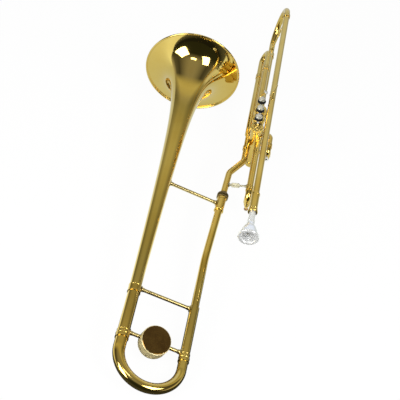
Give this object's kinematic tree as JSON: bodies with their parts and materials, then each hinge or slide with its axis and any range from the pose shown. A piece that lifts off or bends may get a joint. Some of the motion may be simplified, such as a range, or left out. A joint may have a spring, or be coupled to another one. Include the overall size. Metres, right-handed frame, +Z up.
{
  "type": "valve trombone",
  "caption": "Brass trombone with a flared bell, piston valves with their own slides, a tuning slide and counterweight, and a removable mouthpiece.",
  "frame": {"origin": "middle of the second valve's flat bottom cap face", "axes": "+X along the bell towards its mouth, +Y from the valves towards the bell, +Z up the valves to the finger buttons"},
  "size_m": [1.0295, 0.2969, 0.2046],
  "materials": {
    "lacquered_brass": "polished brass under clear gold lacquer",
    "nickel_silver": "polished nickel plate",
    "silver_plate": "polished silver plate",
    "pearl": "glossy pearl inlay",
    "black_felt": "pressed black felt",
    "spring_steel": "bright spring wire",
    "cork": "natural cork",
    "lead": "dull cast lead"
  },
  "bodies": {
    "frame": {"bell": "lacquered_brass", "bell_slide_leg": "lacquered_brass", "bell_stem_ferrule": "lacquered_brass", "neck_tube": "lacquered_brass", "neck_slide_leg": "lacquered_brass", "neck_receiver": "lacquered_brass", "lock_nut": "lacquered_brass", "upper_brace": "lacquered_brass", "lower_brace": "lacquered_brass", "weight_brace": "lacquered_brass", "counterweight_shell": "lacquered_brass", "counterweight_core": "lead", "casing_1": "lacquered_brass", "casing_2": "lacquered_brass", "casing_3": "lacquered_brass", "top_cap_1": "lacquered_brass", "top_cap_2": "lacquered_brass", "top_cap_3": "lacquered_brass", "bottom_cap_1": "lacquered_brass", "bottom_cap_2": "lacquered_brass", "bottom_cap_3": "lacquered_brass", "spring_1": "spring_steel", "spring_2": "spring_steel", "spring_3": "spring_steel", "gooseneck": "lacquered_brass", "gooseneck_ferrule": "lacquered_brass", "leadpipe": "lacquered_brass", "top_bow": "lacquered_brass", "return_tube": "lacquered_brass", "bow_ferrule_lead": "lacquered_brass", "bow_ferrule_return": "lacquered_brass", "mouthpiece_receiver": "lacquered_brass", "top_strut": "lacquered_brass", "lead_strut_1": "lacquered_brass", "lead_strut_3": "lacquered_brass", "hand_brace": "lacquered_brass", "finger_hook": "lacquered_brass"},
    "tuning_slide": {"tuning_slide": "lacquered_brass", "slide_ferrule_bell": "lacquered_brass", "slide_ferrule_neck": "lacquered_brass"},
    "first_slide": {"slide_1": "lacquered_brass", "water_key_pin": "nickel_silver"},
    "water_key": {"water_key": "nickel_silver", "water_key_cork": "cork"},
    "second_slide": {"slide_2": "lacquered_brass"},
    "third_slide": {"slide_3": "lacquered_brass"},
    "mouthpiece": {"mouthpiece": "silver_plate"},
    "valve_1": {"piston_1": "nickel_silver", "felt_1": "black_felt", "button_1": "nickel_silver", "pearl_1": "pearl"},
    "valve_2": {"piston_2": "nickel_silver", "felt_2": "black_felt", "button_2": "nickel_silver", "pearl_2": "pearl"},
    "valve_3": {"piston_3": "nickel_silver", "felt_3": "black_felt", "button_3": "nickel_silver", "pearl_3": "pearl"}
  },
  "joints": [
    {"name": "tuning_slide_pull", "type": "slide", "parent": "frame", "child": "tuning_slide", "axis": [-1, 0, 0], "range_m": [0, 0.06]},
    {"name": "first_slide_pull", "type": "slide", "parent": "frame", "child": "first_slide", "axis": [-1, 0, 0], "range_m": [0, 0.05]},
    {"name": "second_slide_pull", "type": "slide", "parent": "frame", "child": "second_slide", "axis": [-1, 0, 0], "range_m": [0, 0.014]},
    {"name": "third_slide_pull", "type": "slide", "parent": "frame", "child": "third_slide", "axis": [1, 0, 0], "range_m": [0, 0.06]},
    {"name": "water_key_lift", "type": "hinge", "parent": "first_slide", "child": "water_key", "pos_m": [-0.1815, -0.007, 0.0343], "axis": [0, -1, 0], "range_deg": [0, 10], "stiffness_Nm_per_rad": 0.02, "springref_deg": -28.65},
    {"name": "mouthpiece_pull", "type": "slide", "parent": "frame", "child": "mouthpiece", "axis": [-1, 0, 0], "range_m": [0, 0.03]},
    {"name": "valve_1_press", "type": "slide", "parent": "frame", "child": "valve_1", "axis": [0, 0, -1], "range_m": [0, 0.016], "stiffness_N_per_m": 150, "springref_m": -0.015, "deforming": ["spring_1"]},
    {"name": "valve_2_press", "type": "slide", "parent": "frame", "child": "valve_2", "axis": [0, 0, -1], "range_m": [0, 0.016], "stiffness_N_per_m": 150, "springref_m": -0.015, "deforming": ["spring_2"]},
    {"name": "valve_3_press", "type": "slide", "parent": "frame", "child": "valve_3", "axis": [0, 0, -1], "range_m": [0, 0.016], "stiffness_N_per_m": 150, "springref_m": -0.015, "deforming": ["spring_3"]}
  ]
}
